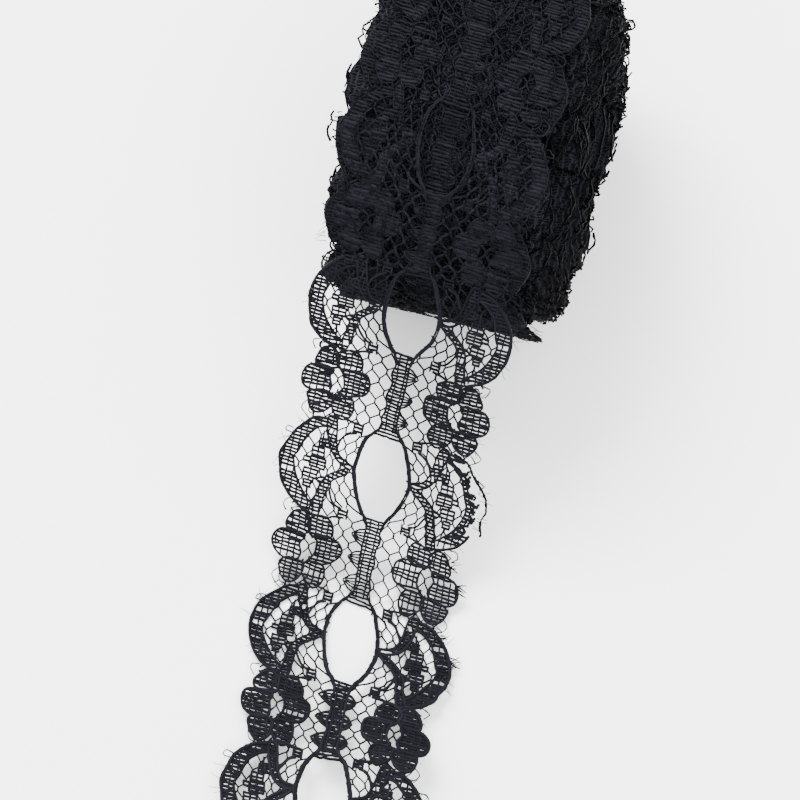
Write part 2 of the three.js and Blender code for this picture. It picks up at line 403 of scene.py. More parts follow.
def threads_object(name, lines, sides, placer, flats=None, rare=1):
    """One joined mesh of threads. A line is its points, as the placer takes them, and its radii.

    The higher rare is, the fewer threads are light.
    """
    points = np.concatenate([line[0] for line in lines])
    radius = np.concatenate([line[1] for line in lines])
    counts = np.array([len(line[0]) for line in lines])
    flat = np.repeat(np.ones(len(lines)) if flats is None else np.array(flats), counts)
    centre, up = placer(points[:, 0], points[:, 1], points[:, 2])
    vertices, quads, caps = tube_arrays(centre, up, radius, counts, sides, flat)
    tone = np.repeat(rng.random(len(lines)) ** rare, counts)
    step = np.linalg.norm(np.diff(centre, axis=0, prepend=centre[:1]), axis=1)
    values = {
        "tone": np.repeat(tone, sides),
        "along": np.repeat(np.cumsum(step), sides),
    }
    piece = mesh_object(name, vertices, [quads, caps], values)
    triangles = 2 * len(quads) + (sides - 2) * len(caps)
    print(name, len(lines), "threads,", triangles, "triangles")
    return piece


print("one mm is", MM, "m in a mesh")

# %% [markdown]
# ## The pattern of the lace
# The lace repeats every 38 mm. In the middle is an oval eyelet, then a ribbed stem with small leaflets up
# to the next eyelet. Beside each eyelet a curved band makes a scallop on the edge, with a chevron band and
# a leaf spray inside it. Between the scallops sits a flower of six petals. The sizes were read off for one
# repeat and redrawn.
#
# The charts hold the left half, in mm, on a repeat of 41.5 mm, which is scaled to 38. This
# first chart is the eyelet with its rims, the band of the scallop and the chevron.

# %% Chart of the eyelet and its bands
K = REPEAT / 41.5
COURSE = REPEAT / 48
WALE = LACE_WIDTH / 32 + 0.006

EYELET = [
    (-3.2, -10.1), (2.1, -10.1), (3.5, -9.4), (4.4, -6.9), (5.1, -4.1), (5.6, -0.9), (5.5, 1.6),
    (4.8, 4.8), (3.5, 7.6), (1.9, 9.6), (-0.7, 9.8), (-3.0, 8.8), (-4.4, 5.9), (-5.1, 2.7),
    (-5.5, -0.5), (-5.3, -3.4), (-4.8, -6.6), (-4.1, -8.7),
]
RIM_LEFT = [
    (-1.9, -14.0), (-2.5, -11.9), (-3.5, -10.1), (-4.3, -8.6), (-5.0, -6.5), (-5.5, -3.4), (-5.7, -0.5),
    (-5.3, 2.7), (-4.6, 5.9), (-3.3, 8.8), (-2.1, 10.6), (-1.8, 12.6),
]
RIM_RIGHT = [
    (1.9, -14.0), (2.6, -11.7), (3.7, -9.9), (4.6, -6.9), (5.3, -4.1), (5.8, -0.9), (5.7, 1.6),
    (5.0, 4.8), (3.7, 7.6), (2.3, 10.0), (1.9, 12.6),
]
BAND_OUTER = [
    (-13.7, -10.7), (-16.3, -10.1), (-18.4, -8.3), (-20.4, -5.5), (-21.7, -2.7), (-22.5, 0.9),
    (-22.0, 4.1), (-21.3, 6.6), (-20.4, 8.7), (-18.6, 10.8), (-16.3, 12.2), (-14.2, 12.9),
]
BAND_INNER = [
    (-12.8, -8.7), (-14.9, -8.0), (-17.0, -6.0), (-17.9, -3.7), (-18.7, -0.9), (-19.4, 0.9),
    (-19.1, 3.0), (-18.1, 5.5), (-17.0, 7.6), (-14.9, 10.1), (-13.5, 11.0),
]
CHEVRON_TOP = [
    (-13.6, -10.8), (-12.4, -5.5), (-11.2, -2.7), (-9.6, -0.9), (-7.6, 0.0), (-6.5, -0.4),
    (-6.6, -1.1), (-8.2, -1.6), (-9.6, -2.8), (-10.6, -5.5), (-11.8, -10.9),
]
CHEVRON_LOW = [
    (-14.2, 12.7), (-13.2, 8.3), (-12.8, 5.5), (-11.3, 3.0), (-9.2, 1.1), (-7.6, 0.0),
    (-6.6, 0.3), (-8.2, 1.9), (-10.3, 3.9), (-11.2, 6.2), (-11.5, 8.3), (-12.3, 12.9),
]
print("the eyelet has", len(EYELET), "points")

# %% [markdown]
# Inside the scallop is a spray of small ladder blocks, with loops, dots and fine tendrils
# around it. In the notches between scallop and flower stand a few loops of loose net.

# %% Chart of the spray and the fine loops
LEAF_LOOPS = [
    [(-11.9, -5.4), (-13.4, -5.2), (-14.0, -4.3), (-13.2, -3.6), (-11.2, -3.2)],
    [(-12.2, 4.0), (-13.4, 4.3), (-13.6, 5.1), (-12.7, 5.6)],
]
# Left, right, start and end of each block of the leaf spray
SPRAY_BLOCKS = [
    (0.2, 1.6, -5.1, -3.3), (-1.1, 1.6, -2.7, -0.7), (-2.6, -1.2, 0.2, 1.2), (-1.2, 2.2, -0.1, 2.2),
    (-2.2, 0.8, 2.9, 4.9), (-1.7, -0.1, 5.6, 7.2),
]
SPRAY_LINKS = [
    ((0.9, -7.2), (0.9, -5.2)), ((0.4, -3.3), (0.4, -2.6)), ((0.1, -0.7), (0.1, 0)),
    ((-0.7, 2.2), (-0.7, 3)), ((-0.8, 4.7), (-0.8, 5.8)), ((-0.7, 7.2), (-0.5, 9.6)),
]
SPRAY_AT = -14.7
DOTS = [(-6.75, -10.15), (-7.1, 10.8)]
DOT_HALF_WIDTH = 0.95
DOT_HALF_HEIGHT = 1.3
DOT_CORNERS = [(-1, -1), (1, -1), (1, 1), (-1, 1)]
TENDRILS = [
    [(-9.6, -11.9), (-7.9, -11.5), (-6.6, -11.2)],
    [(-6.9, -9.1), (-8.7, -8.1), (-9.8, -6.2), (-10.2, -4.6)],
    [(-11.0, 5.8), (-10.3, 7.4), (-9.2, 9.2), (-7.6, 9.9)],
    [(-6.7, 11.9), (-8.9, 12.2), (-10.4, 12.9)],
]
NOTCH_LOOPS = [
    [(-17.9, -9.2), (-19.3, -10.0), (-20.1, -11.3), (-19.6, -12.7), (-18.3, -13.8)],
    [(-17.0, -10.4), (-18.2, -11.2), (-18.5, -12.4), (-17.8, -13.6)],
    [(-19.3, -10.0), (-18.2, -11.2)],
    [(-18.2, 11.6), (-19.8, 12.2), (-20.1, 13.5), (-19.0, 14.6)],
    [(-16.6, 12.6), (-17.8, 13.0), (-18.3, 14.0)],
    [(-21.2, -4.6), (-22.4, -5.2), (-22.2, -6.3), (-20.6, -6.3)],
]
print("the spray has", len(SPRAY_BLOCKS), "blocks")

# %% [markdown]
# The flower's six petals stand in pairs: one pair beside a small open hole, one before it and
# one behind it. Its places are counted from the middle of that hole. The leaflets' places
# along the stem follow.

# %% Chart of the flower
FLOWER_AT = -13.4
PETALS = [
    [(-1.4, -1.7), (-4.1, -1.95), (-6.5, -1.2), (-7.4, 0.9), (-6.7, 3.0), (-4.4, 3.8), (-2.0, 3.4),
     (-1.2, 1.8), (-1.6, 0)],
    [(0.9, -2.5), (4.0, -2.8), (6.2, -2.2), (6.9, -0.3), (6.2, 1.8), (4.1, 2.8), (1.6, 3.2),
     (0.9, 2.6), (1.6, 1.1), (1.5, -1.1)],
    [(-5.4, 5.4), (-4.4, 4.3), (-2.3, 4.2), (-0.7, 4.5), (-0.4, 6.2), (-1.3, 8.2), (-3.0, 9.1),
     (-4.6, 8.2), (-5.4, 6.6)],
    [(0.0, 4.5), (1.9, 3.8), (3.8, 4.1), (4.6, 6.0), (4.1, 8.0), (2.7, 9.0), (0.9, 7.9), (-0.1, 6.3)],
    [(-5.2, -4.2), (-4.0, -6.7), (-2.3, -7.3), (-0.9, -6.7), (-0.4, -5.0), (-0.7, -3.2),
     (-2.8, -2.6), (-4.8, -2.9)],
    [(-0.4, -6.0), (1.3, -7.3), (3.2, -7.4), (4.6, -5.9), (4.6, -3.9), (3.2, -3.2), (0.7, -3.0),
     (-0.3, -4.1)],
]
HOLE = [(0, -2.4), (1.4, -1.3), (1.5, 0.9), (0.2, 2.5), (-1.3, 1.5), (-1.5, -1.1)]
LEAFLETS = [-26.2, -20.5, -14.7]
print("the flower has", len(PETALS), "petals")

# %% [markdown]
# ## Knitting
# Three kinds of knitting fill the shapes. Net is drawn as wales that meet and part again.
# Cloth is drawn as upright pillars with a level bar in every course. Thick cords run round
# each shape, as the heavy outlining yarn does in real lace of this kind. A texture of the
# pattern would be quicker, but it has no depth and no real holes.

# %% Threads and cloth
NET, JOIN, BAR, PILLAR, CORD, RIM, TENDRIL = 0.162, 0.21, 0.262, 0.2, 0.28, 0.28, 0.24


def scaled(points, middle, side, wobble=0.0, at=0.0):
    """Points of a chart, placed about a motif's middle. Side -1 mirrors them."""
    points = np.array(points, float)
    if wobble:
        points = points + rng.normal(0, wobble, points.shape)
    x = (points[:, 0] + at) * side
    return np.stack([x, points[:, 1] * K + middle], axis=1)


class Knitting:
    """Collects the threads of a length of lace: flat places (across, along, above), radii, kind."""

    def __init__(self):
        self.lines = []
        self.cloth = []
        self.holes = []

    def add(self, points, radius, above=0.0, swell=0.0, kind="cord"):
        points = np.asarray(points, float)
        radii = np.full(len(points), radius, float)
        if swell:
            radii = radii * (1 + swell * rng.uniform(-1, 1, len(points)))
        self.lines.append((np.column_stack([points, np.full(len(points), above)]), radii, kind))

    def outline(self, shape, radius, above=0.12):
        around = np.concatenate([shape, shape[:2]])
        self.add(around, radius * rng.uniform(0.92, 1.08), above, 0.12)

    def fill(self, shape, drop=0.04, bar=BAR, pillar=PILLAR, reach=0.0):
        low, high = shape[:, 1].min(), shape[:, 1].max()
        for k in range(int(np.ceil(low / COURSE)), int(np.floor(high / COURSE)) + 1):
            y = k * COURSE
            for x0, x1 in spans_at(shape, y + rng.uniform(-0.05, 0.05)):
                if x1 - x0 < 0.5 or rng.random() < drop:
                    continue
                count = max(2, int(round((x1 - x0) / 0.75)) + 1)
                x = np.linspace(x0 - reach, x1 + reach, count)
                sway = rng.normal(0, 0.06, count)
                slant = rng.normal(0, 0.05) * (x - x.mean())
                self.add(np.column_stack([x, y + sway + slant]), bar, rng.uniform(-0.08, 0.04), 0.15, "bar")
        if not pillar:
            return
        y = np.arange(low + 0.2, high - 0.1, COURSE)
        for i in range(32):
            x = wale_at((i - 15.5) * WALE, y)
            mask = inside(shape, np.column_stack([x, y]))
            for a, b in runs_of(mask):
                if b - a >= 2:
                    sway = rng.normal(0, 0.06, b - a)
                    self.add(np.column_stack([x[a:b] + sway, y[a:b]]), pillar, 0.06, 0.15, "pillar")

    def cloth_shape(self, points, middle, side, cord=CORD, wobble=0.13, at=0.0, **how):
        shape = smooth_line(scaled(points, middle, side, wobble, at), 0.62, closed=True)[:-1]
        self.cloth.append(shape)
        self.fill(shape, **how)
        self.outline(shape, cord)


print("thread radii", NET, "to", CORD, "mm")

# %% [markdown]
# The wales run straight along the lace, but the wide eyelet pushes its neighbours aside, so
# they swing out round it and come back at the stem.

# %% Way of the wales
def wale_at(flat, q):
    """Where a wale runs: the eyelet pushes its neighbours aside."""
    v = np.abs(q - REPEAT * np.round(q / REPEAT))
    open_half = 5.7 * np.sqrt(np.clip(1 - (v / 9.6) ** 2.4, 0, 1))
    rim = np.maximum(2.6, open_half + 0.9)
    size = np.interp(np.abs(flat), [0, 2.1, 6.4, 15, 30], [0, 2.1, 7.1, 15, 30])
    pushed = rim + (size - 2.6) * (15 - rim) / (15 - 2.6)
    moved = np.where(size < 2.6, size * rim / 2.6, np.where(size < 15, pushed, size))
    return np.sign(flat) * moved


print("beside the eyelet, the wale at 3 mm runs at", round(float(wale_at(3.0, 0.0)), 2), "mm")

# %% [markdown]
# Inside a scallop's band lie the chevron, the leaf spray and the fine loops. Chevron and
# loops are filled with cloth. Each block of the spray is a little ladder of bars and posts.

# %% Chevron, spray and loops
def knit_spray(lace, middle, side):
    """All that lies inside a scallop's band, and the loops in the notches beside it."""
    for chevron in (CHEVRON_TOP, CHEVRON_LOW):
        lace.cloth_shape(chevron, middle, side, cord=CORD * 0.85, wobble=0.08)
    for loop in LEAF_LOOPS:
        line = smooth_line(scaled(loop, middle, side, 0.1), 0.5)
        lace.cloth.append(line)
        lace.add(line, TENDRIL, 0.1, 0.1)
        lace.fill(line, drop=0.1, pillar=None)
    for x0, x1, y0, y1 in SPRAY_BLOCKS:
        shape = scaled([(x0, y0), (x1, y0), (x1, y1), (x0, y1)], middle, side, 0.06, SPRAY_AT)
        lace.cloth.append(shape)
        cells = int(round((x1 - x0) / 1.4))
        for y in np.linspace(y0, y1, int(round((y1 - y0) * K / COURSE)) + 1):
            bar = resample(scaled([(x0 - 0.1, y), (x1 + 0.1, y)], middle, side, 0.05, SPRAY_AT), 0.8)
            lace.add(bar, BAR * 0.92, 0, 0.15, "bar")
        for x in np.linspace(x0, x1, cells + 1):
            post = resample(scaled([(x, y0 - 0.1), (x, y1 + 0.1)], middle, side, 0.05, SPRAY_AT), 0.8)
            lace.add(post, PILLAR * 1.05, 0.05, 0.15)
    for start, end in SPRAY_LINKS:
        lace.add(scaled([start, end], middle, side, 0.05, SPRAY_AT), JOIN)
    for x, y in DOTS:
        corners = [(x + DOT_HALF_WIDTH * i, y + DOT_HALF_HEIGHT * j) for i, j in DOT_CORNERS]
        shape = resample(scaled(corners + corners[:1], middle, side, 0), 0.7)[:-1]
        lace.cloth.append(shape)
        lace.fill(shape, drop=0, bar=BAR, pillar=None, reach=0.12)
        for a, b in ((0, 3), (1, 2)):
            lace.add(resample(scaled([corners[a], corners[b]], middle, side), 0.7), PILLAR * 1.15, 0.06)
    for loop in NOTCH_LOOPS:
        if rng.random() < 0.8:
            line = smooth_line(scaled(loop, middle, side, 0.25), 0.7)
            lace.add(line, NET * 0.75, 0.0, 0.2, "net")
    for tendril in TENDRILS:
        line = smooth_line(scaled(tendril, middle, side, 0.1), 0.6)
        lace.add(line, TENDRIL, 0.1, 0.1)


print("each scallop has", len(SPRAY_BLOCKS), "ladder blocks and", len(TENDRILS), "tendrils")

# %% [markdown]
# One scallop of the loose length is frayed, as on the real roll. Its bars have come loose from
# the outer cord, so they end in stubs of uneven length, and the cord hangs loose beside them.

# %% Frayed scallop
TORN_EYELET = 2


def knit_torn_band(lace, outer, inner, middle):
    """The frayed scallop: its bars end in stubs and its cord hangs loose beside it."""
    for sign, limit in ((1, 6.3), (-1, 8.6)):
        kept = sign * (outer[:, 1] - middle) > limit
        beside = sign * (inner[:, 1] - middle) > limit - 0.8
        lace.add(outer[kept], CORD * 1.1, 0.14, 0.15)
        if beside.sum() > 1:
            lace.fill(np.concatenate([outer[kept], inner[beside][::-1]]))
    for k in range(int(np.ceil((middle - 9) / COURSE)), int((middle + 9) / COURSE)):
        y = k * COURSE
        at = np.interp(y, inner[:, 1], inner[:, 0])
        length = rng.uniform(0.8, 2.9)
        x = at + np.linspace(0, length, 4)
        sway = rng.normal(0, 0.12, 4) * [0, 1, 1.5, 2.2]
        lace.add(np.column_stack([x, y + sway]), BAR * 1.15, 0, 0.2, "bar")
        if rng.random() < 0.9:
            bend = np.array([(0, 0), (0.25, 0.35), (0.1, 0.75), (-0.3, 0.85)]) * rng.choice([-1, 1])
            lace.add(bend + [x[-1], y + sway[-1]], BAR * 1.1, 0.1, 0.2)
    y = np.arange(middle - 8.5, middle + 8.5, COURSE)
    at = np.interp(y, inner[:, 1], inner[:, 0]) + 1.1
    lace.add(np.column_stack([at + rng.normal(0, 0.12, len(y)), y]), PILLAR, 0.06, 0.2)
    loose = [(14.6, -11.0), (16.2, -10.4), (17.9, -9.6), (19.5, -7.2), (21.5, -4.9), (23.2, -2.6),
             (23.8, 0.6), (23.0, 3.1), (23.6, 6.6)]
    line = smooth_line(scaled(loose, middle, 1), 0.45)
    lace.add(line + rng.normal(0, 0.07, line.shape), CORD * 0.95, 0.1, 0.3)


print("the scallop at eyelet", TORN_EYELET, "is frayed")

# %% [markdown]
# The eyelet's rim is two cords that lie side by side and meet at the stems. The scallop beside
# it is a band of cloth between two cords, with the chevron and the spray inside it.

# %% Eyelet and scallops
def knit_eyelet(lace, k):
    middle = REPEAT * k
    hole = smooth_line(scaled(EYELET, middle, 1, 0.1), 0.7, closed=True)[:-1]
    lace.holes.append(hole)
    for side, rim in ((-1, RIM_LEFT), (1, RIM_RIGHT)):
        line = smooth_line(scaled(rim, middle, 1, 0.07), 0.65)
        v = (line[:, 1] - middle) / K
        # The rim's two cords meet and get thin where they join the stems
        apart = 0.44 * np.clip((12 - np.abs(v)) / 3, 0, 1)
        thin = np.clip((14 - np.abs(v)) / 4, 0.45, 1)
        for shift, radius in ((0 * apart, RIM), (side * apart, RIM * 0.9)):
            lace.add(line + np.column_stack([shift, 0 * shift]), radius, 0.14, 0.25, "rim")
            lace.lines[-1][1][:] *= thin
    for side in (1, -1):
        torn = k == TORN_EYELET and side == -1
        outer = smooth_line(scaled(BAND_OUTER, middle, side, 0.12), 0.62)
        inner = smooth_line(scaled(BAND_INNER, middle, side, 0.1), 0.62)
        shape = np.concatenate([outer, inner[::-1]])
        lace.cloth.append(shape)
        if torn:
            knit_torn_band(lace, outer, inner, middle)
        else:
            lace.fill(shape)
            lace.add(outer, CORD * 1.1, 0.14, 0.15)
        lace.add(inner, CORD * 0.85, 0.12, 0.12)
        knit_spray(lace, middle, side)


print("an eyelet is", round(float(np.ptp(np.array(EYELET)[:, 1])) * K, 1), "mm long")

# %% [markdown]
# A flower sits on each edge between two scallops. Its petals are cloth inside one thick
# cord each. They are moved out a little where they would cover the open hole.

# %% Flower
PETAL_SPREAD = [1.1, 1.16]
FLOWER_LINKS = [
    (-3, -1.9, -2.4, -2.8), (2.2, 3.0, 2.4, 4.0), (-3, 3.6, -2.8, 4.4), (2.4, -2.7, 2.2, -3.2),
    (-0.6, 3.4, -0.5, 4.6), (0.4, -2.6, 0.1, -3.4),
]
HOLE_NET = [
    [(-1.3, -1.5), (0.0, -0.5), (0.0, 0.5), (-1.0, 2.0)],
    [(1.3, -1.5), (0.1, -0.5), (0.1, 0.5), (1.2, 2.0)],
]


def knit_flower(lace, k):
    middle = REPEAT * (k + 0.5)
    for side in (1, -1):
        for petal in PETALS:
            petal = np.array(petal, float)
            petal = petal.mean(axis=0) + (petal - petal.mean(axis=0)) * PETAL_SPREAD
            near = np.linalg.norm(petal / [1.85, 2.7], axis=1)
            petal = petal * np.where(near < 1, 1 / np.maximum(near, 0.3), 1)[:, None]
            lace.cloth_shape(petal, middle, side, cord=CORD * 0.9, at=FLOWER_AT, bar=BAR * 1.05)
        hole = smooth_line(scaled(HOLE, middle, side, 0.05, FLOWER_AT), 0.7, closed=True)[:-1]
        lace.holes.append(hole)
        for line in HOLE_NET:
            lace.add(resample(scaled(line, middle, side, 0, FLOWER_AT), 0.9), NET * 1.1, kind="net")
        for x0, y0, x1, y1 in FLOWER_LINKS:
            lace.add(scaled([(x0, y0), (x1, y1)], middle, side, 0.1, FLOWER_AT), TENDRIL)


print("the flower's middle is", -FLOWER_AT, "mm from the middle of the lace")

# %% [markdown]
# The stem is a narrow ladder of bars that widens where it meets an eyelet. Small pointed
# leaflets stand on one side of it, then on the other side of the next stem. On the last whole
# stem of the loose length, where the yarn is fuller, they show on both sides.

# %% Stem and leaflets
STEM_ON_BOTH_SIDES = 3


def knit_stem(lace, k):
    """The ribbed stem from eyelet k to the next. Its leaflets change sides each time."""
    middle = REPEAT * (k + 1)
    leafy = 1 if k % 2 == 1 else -1
    y = np.arange(-31.6, -10.0, 0.35)
    sides = {}
    for side in (-1, 1):
        width = np.full(len(y), 1.55)
        for centre in LEAFLETS:
            if side != leafy:
                width += 0.55 * np.clip(1 - np.abs(y - centre) / 1.5, 0, 1) ** 0.7
        width += 1.8 * np.clip((y + 13.4) / 3.2, 0, 1) ** 1.5
        width += 0.8 * np.clip((-29.5 - y) / 2.0, 0, 1)
        sides[side] = width + rng.normal(0, 0.05, len(y))
    shape = np.concatenate([
        np.column_stack([-sides[-1], y]),
        np.column_stack([sides[1], y])[::-1],
    ])
    shape = scaled(shape, middle, 1)
    lace.cloth.append(shape)
    lace.fill(shape, drop=0.01, bar=BAR * 0.92, pillar=None, reach=0.05)
    for side in (-1, 1):
        edge = scaled(np.column_stack([side * sides[side], y]), middle, 1)
        lace.add(resample(edge, 0.7), TENDRIL, 0.08, 0.15)
    for x, radius in ((-0.85, PILLAR), (0.85, PILLAR)):
        line = resample(scaled([(x, -31.0), (x, -11.8)], middle, 1), COURSE)
        line[:, 0] += rng.normal(0, 0.08, len(line))
        lace.add(line, radius, 0.08, 0.2)
    for side in ((-1, 1) if k == STEM_ON_BOTH_SIDES else (leafy,)):
        for centre in LEAFLETS:
            knit_leaflet(lace, centre, middle, side)


def knit_leaflet(lace, centre, middle, side):
    """A pointed leaf beside the stem, with bars that run together at its tip."""
    reach = 1 if side < 0 else 0.8
    tip = (1.3 + 3.2 * reach + rng.normal(0, 0.15), centre - 0.4)
    corners = [(1.3, centre - 2.4), (1.3 + 1.6 * reach, centre - 1.9), tip,
               (1.3 + 1.6 * reach, centre + 1.2), (1.3, centre + 2.2)]
    lace.cloth.append(scaled(corners, middle, side))
    lace.add(resample(scaled(corners, middle, side, 0.06), 0.6), TENDRIL * 0.85, 0.1, 0.15)
    for start in (-1.4, -0.55, 0.3, 1.15):
        points = [(1.2, centre + start), (1.3 + 1.3 * reach, centre + start * 0.75 - 0.1),
                  (1.3 + 2.7 * reach, centre + start * 0.25 - 0.35)]
        lace.add(resample(scaled(points, middle, side, 0.06), 0.8), BAR * 0.7, 0.02, 0.15, "bar")


print("the stem has", len(LEAFLETS), "leaflets on a side")

# %% [markdown]
# Net fills all that is left. Its cells are hexagons: two wales run together for a short way,
# part, and meet the next wale. Every short piece is dropped where its middle lies in cloth,
# in a hole or beyond the scalloped edge.

# %% Net
ROWS_OF_NET = 16
EDGE_AWAY = [0, 4, 8, 9.5, 11, 13, 15, 19]
EDGE_OF_NET = [20.5, 19.5, 17, 17.5, 18.2, 18.2, 17, 16]


def knit_net(lace, first, last):
    """Net everywhere that is not cloth or hole, out to the edge."""
    period = REPEAT / ROWS_OF_NET
    pieces = []
    join = 0.45
    rows = range(int(first * ROWS_OF_NET), int(last * ROWS_OF_NET) + 1)
    shift = {(row, i): rng.normal(0, 0.11, 2) for row in (*rows, rows[-1] + 1) for i in range(-16, 17)}
    for row in rows:
        y = row * period
        for i in range(-15, 16):
            if (i + row) % 2:
                continue
            x = i * WALE
            here = shift[row, i]
            pieces.append((x + here[0], y + here[1] - join, x + here[0], y + here[1] + join, 1))
            for step in (-1, 1):
                there = shift[row + 1, i + step]
                end = (x + step * WALE + there[0], y + period + there[1] - join)
                pieces.append((x + here[0], y + here[1] + join, *end, 0))
    pieces = np.array(pieces)
    count = 4
    share = np.linspace(0, 1, count + 1)
    x = pieces[:, 0:1] + (pieces[:, 2:3] - pieces[:, 0:1]) * share
    y = pieces[:, 1:2] + (pieces[:, 3:4] - pieces[:, 1:2]) * share
    x = wale_at(x, y)
    middle = np.column_stack([(x[:, 1:] + x[:, :-1]).ravel() / 2, (y[:, 1:] + y[:, :-1]).ravel() / 2])
    blocked = np.zeros(len(middle), bool)
    for shape in lace.cloth + lace.holes:
        blocked |= inside(shape, middle)
    v = np.abs(middle[:, 1] - REPEAT * np.round(middle[:, 1] / REPEAT))
    blocked |= np.abs(middle[:, 0]) > np.interp(v, EDGE_AWAY, EDGE_OF_NET)
    free = ~blocked.reshape(len(pieces), count)
    for j in range(len(pieces)):
        for a, b in runs_of(free[j]):
            keep = [a, b] if b - a <= 2 else [a, (a + b) // 2, b]
            radius = (JOIN if pieces[j, 4] else NET) * rng.uniform(0.9, 1.15)
            lace.add(np.column_stack([x[j][keep], y[j][keep]]), radius, kind="net")


print("a net cell is", REPEAT / ROWS_OF_NET * 2, "mm long")

# %% [markdown]
# Now one long length is knitted, enough for the loose length and two full turns. Two last
# tools give it the slight unevenness of real knitting and cut out the part for each piece.

# %% Knitting the whole length
def knit(first, last):
    """All threads from eyelet number first to eyelet number last."""
    lace = Knitting()
    for k in range(first, last + 1):
        knit_eyelet(lace, k)
        knit_flower(lace, k)
        knit_stem(lace, k)
    knit_net(lace, first - 0.5, last + 0.99)
    return lace.lines


def on_route(lines):
    """Turns places in the pattern into rows along the lace, with the knitting's small unevenness."""
    done = []
    for points, radius, kind in lines:
        points = points.copy()
        x, q = points[:, 0], points[:, 1]
        points[:, 0] = x + 0.22 * np.sin(q / 6.1 + x / 8) + 0.1 * np.sin(q / 2.6 - x / 4)
        points[:, 1] = row_at(q + 0.2 * np.sin(x / 4.9 + q / 9) + 0.08 * np.sin(x / 2.3 - q / 5))
        done.append((points, radius, kind))
    return done


def cut(lines, low, high):
    """The parts of the threads whose way along the lace is between low and high."""
    kept = []
    for points, radius, kind in lines:
        s = points[:, 1] + SKEW * points[:, 0]
        if s.min() >= low and s.max() <= high:
            kept.append((points, radius, kind))
            continue
        for a, b in runs_of((s >= low) & (s <= high)):
            # A thread that goes on past the cut keeps one more point, so that pieces meet
            b = min(len(points), b + 1) if s[min(b, len(points) - 1)] > high and high != CUT_END else b
            if b - a >= 2:
                kept.append((points[a:b], radius[a:b], kind))
    return kept


all_lace = on_route(knit(-14, 4))
print(len(all_lace), "threads of lace")

# %% [markdown]
# ## Yarn
# Materials are built from nodes. Much of it is plain arithmetic on values, so a short helper
# adds one sum at a time. Its inputs are numbers or the outputs of other nodes.

# %% Sums in a material
def new_sum(tree, operation, *values):
    """The output of a new Math node."""
    node = tree.nodes.new("ShaderNodeMath")
    node.operation = operation
    for number, value in enumerate(values):
        if isinstance(value, (int, float)):
            node.inputs[number].default_value = value
        else:
            tree.links.new(value, node.inputs[number])
    return node.outputs[0]


def value_of(tree, name):
    """The output of a node that reads one of the mesh's own values."""
    node = tree.nodes.new("ShaderNodeAttribute")
    node.attribute_name = name
    return node.outputs["Fac"]


def wave_of(tree, source, length):
    """A wave from -1 to 1 with one ripple in each length."""
    return new_sum(tree, "SINE", new_sum(tree, "MULTIPLY", source, 2 * math.pi / length))


print("helpers for materials are ready")

# %% [markdown]
# The yarn is black polyester with a touch of navy. Each thread is a little lighter or
# darker than the next, and short stitches show as a fine ripple along it. The effect is a
# node group, because the yarns of the strip, the second turn and the deep turns share it.

# %% Yarn effect
STITCH = 0.4


def node_group_yarn():
    """Shared effect: colour, roughness and a stitch ripple for knitted yarn."""
    group = bpy.data.node_groups.new("Yarn tone", "ShaderNodeTree")
    group.interface.new_socket("Dark", in_out="INPUT", socket_type="NodeSocketColor")
    group.interface.new_socket("Light", in_out="INPUT", socket_type="NodeSocketColor")
    group.interface.new_socket("Color", in_out="OUTPUT", socket_type="NodeSocketColor")
    group.interface.new_socket("Roughness", in_out="OUTPUT", socket_type="NodeSocketFloat")
    group.interface.new_socket("Normal", in_out="OUTPUT", socket_type="NodeSocketVector")
    nodes, links = group.nodes, group.links
    source = nodes.new("NodeGroupInput")
    result = nodes.new("NodeGroupOutput")
    place = nodes.new("ShaderNodeTexCoord")
    blotch = nodes.new("ShaderNodeTexNoise")
    blotch.inputs["Scale"].default_value = 220
    links.new(place.outputs["Object"], blotch.inputs["Vector"])
    mix = nodes.new("ShaderNodeMix")
    mix.data_type = "RGBA"
    both = new_sum(group, "MULTIPLY", value_of(group, "tone"), blotch.outputs["Fac"])
    links.new(both, mix.inputs["Factor"])
    links.new(source.outputs["Dark"], mix.inputs["A"])
    links.new(source.outputs["Light"], mix.inputs["B"])
    links.new(mix.outputs["Result"], result.inputs["Color"])
    rough = nodes.new("ShaderNodeMapRange")
    rough.inputs["To Min"].default_value = 0.42
    rough.inputs["To Max"].default_value = 0.68
    links.new(blotch.outputs["Fac"], rough.inputs["Value"])
    links.new(rough.outputs["Result"], result.inputs["Roughness"])
    bump = nodes.new("ShaderNodeBump")
    bump.inputs["Strength"].default_value = 0.35
    bump.inputs["Distance"].default_value = 0.00008
    links.new(wave_of(group, value_of(group, "along"), STITCH), bump.inputs["Height"])
    links.new(bump.outputs["Normal"], result.inputs["Normal"])
    return group


YARN_TONE = node_group_yarn()
print(YARN_TONE.name, "has", len(YARN_TONE.nodes), "nodes")

# %% [markdown]
# Three yarns use the effect. The strip and the outer turn have the same one, since they are one length of
# lace. The second turn has nearly the same colour with less sheen. The deep turns get painted shade: their
# yarn is a darker copy of the same yarn, so the open net of the outer turn shows as dark holes, as on the
# real roll.

# %% Yarns
def yarn_material(name, dark, light, gloss):
    material = bpy.data.materials.new(name)
    material.use_nodes = True
    nodes, links = material.node_tree.nodes, material.node_tree.links
    shader = nodes["Principled BSDF"]
    yarn = nodes.new("ShaderNodeGroup")
    yarn.node_tree = YARN_TONE
    yarn.inputs["Dark"].default_value = (*dark, 1)
    yarn.inputs["Light"].default_value = (*light, 1)
    links.new(yarn.outputs["Color"], shader.inputs["Base Color"])
    links.new(yarn.outputs["Roughness"], shader.inputs["Roughness"])
    links.new(yarn.outputs["Normal"], shader.inputs["Normal"])
    shader.inputs["Specular IOR Level"].default_value = gloss
    return material


